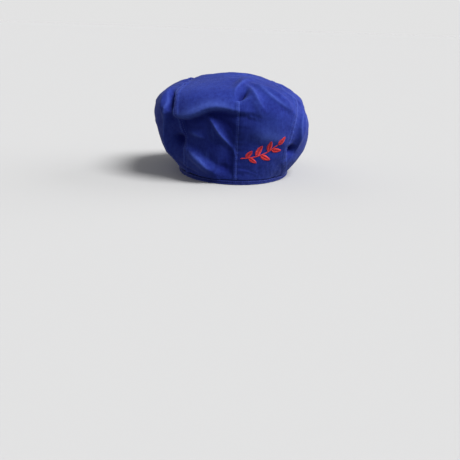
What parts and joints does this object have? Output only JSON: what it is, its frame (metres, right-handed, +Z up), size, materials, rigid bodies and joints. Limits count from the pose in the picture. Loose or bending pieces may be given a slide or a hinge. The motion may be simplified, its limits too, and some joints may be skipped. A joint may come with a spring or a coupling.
{
  "type": "hunting cap",
  "caption": "Soft cloth flat cap with a full crown, curved side seams, a dart up the back, a narrow stitched hem and a short stiff peak.",
  "frame": {"origin": "middle of the cap's length and width, on the surface that its hem rests on", "axes": "+Z up through the crown, -Y out of the peak, +Y to the back, +X to the wearer's left"},
  "size_m": [0.2238, 0.2786, 0.1432],
  "materials": {
    "crown_cloth": "matt royal blue cotton twill",
    "band_cloth": "matt royal blue cotton twill, folded and stitched",
    "peak_cloth": "matt royal blue cotton twill over a stiff board"
  },
  "bodies": {
    "root": {"top_crown": "crown_cloth", "side_crown_left": "crown_cloth", "side_crown_right": "crown_cloth", "hem_band": "band_cloth", "peak": "peak_cloth"}
  },
  "joints": []
}
